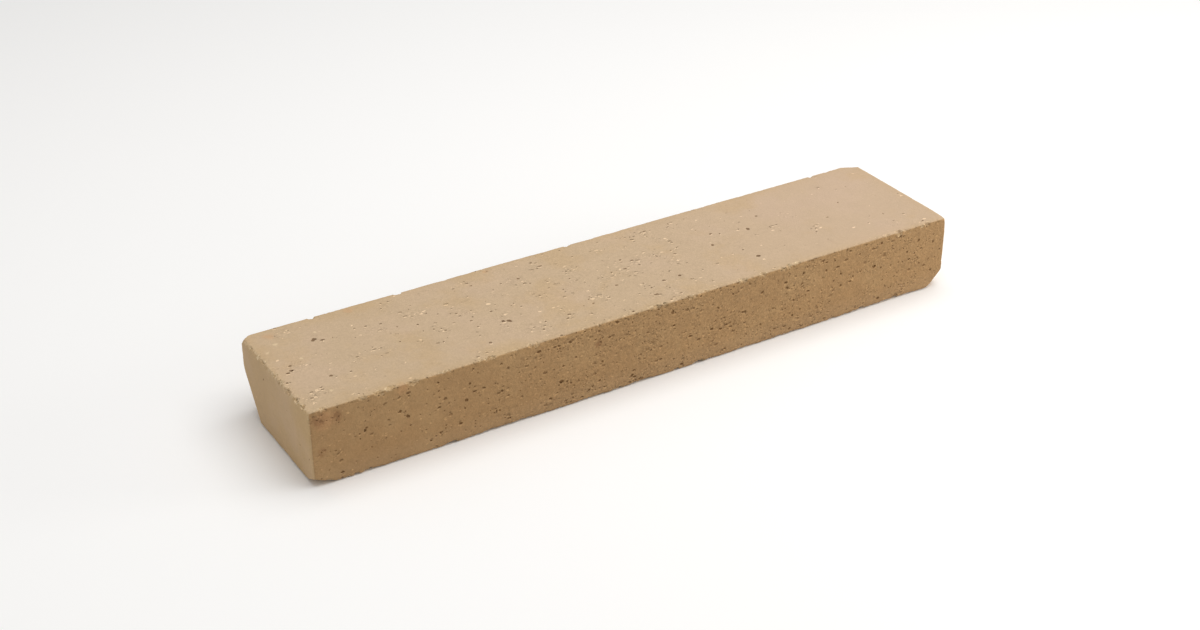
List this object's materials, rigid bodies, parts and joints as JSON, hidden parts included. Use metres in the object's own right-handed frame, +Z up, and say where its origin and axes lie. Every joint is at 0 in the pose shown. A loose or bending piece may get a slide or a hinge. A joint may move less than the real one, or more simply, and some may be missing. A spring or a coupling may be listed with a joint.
{
  "type": "refractory firebrick",
  "caption": "Long, slim rectangular firebrick of pressed and fired clay, with worn arrises and broken corners, for lining stoves, ovens and kilns.",
  "frame": {"origin": "middle of the underside", "axes": "+X along the brick's length, +Y across its width from the front side to the back, +Z up"},
  "size_m": [0.345, 0.075, 0.038],
  "materials": {
    "fired_clay": "matt, fine grained and porous, buff with paler grog and brown iron spots"
  },
  "bodies": {
    "root": {"firebrick": "fired_clay"}
  },
  "joints": []
}
